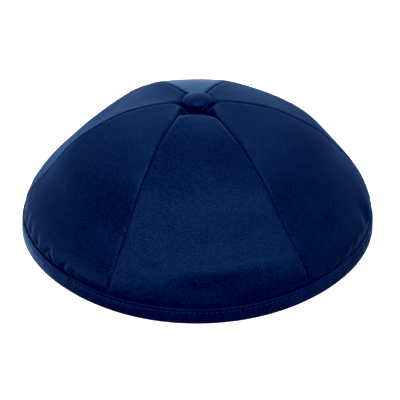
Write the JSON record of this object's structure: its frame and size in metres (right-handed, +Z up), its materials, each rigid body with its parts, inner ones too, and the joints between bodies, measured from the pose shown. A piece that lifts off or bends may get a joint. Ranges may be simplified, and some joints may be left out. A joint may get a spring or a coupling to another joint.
{
  "type": "kippah skullcap",
  "caption": "Satin skullcap of sewn gores with a folded rim band and a covered button at the crown.",
  "frame": {"origin": "on the surface that the rim band rests on, below the middle of the cap", "axes": "+Z up through the button, -Y towards the front of the cap, +X to its right as seen from the front"},
  "size_m": [0.1722, 0.1723, 0.0676],
  "materials": {
    "crown_satin": "navy satin, soft sheen",
    "band_satin": "navy satin, folded and top-stitched",
    "button_satin": "navy satin drawn over a button"
  },
  "bodies": {
    "root": {"gore_front": "crown_satin", "gore_front_right": "crown_satin", "gore_back_right": "crown_satin", "gore_back": "crown_satin", "gore_back_left": "crown_satin", "gore_front_left": "crown_satin", "rim_band": "band_satin", "top_button": "button_satin"}
  },
  "joints": []
}
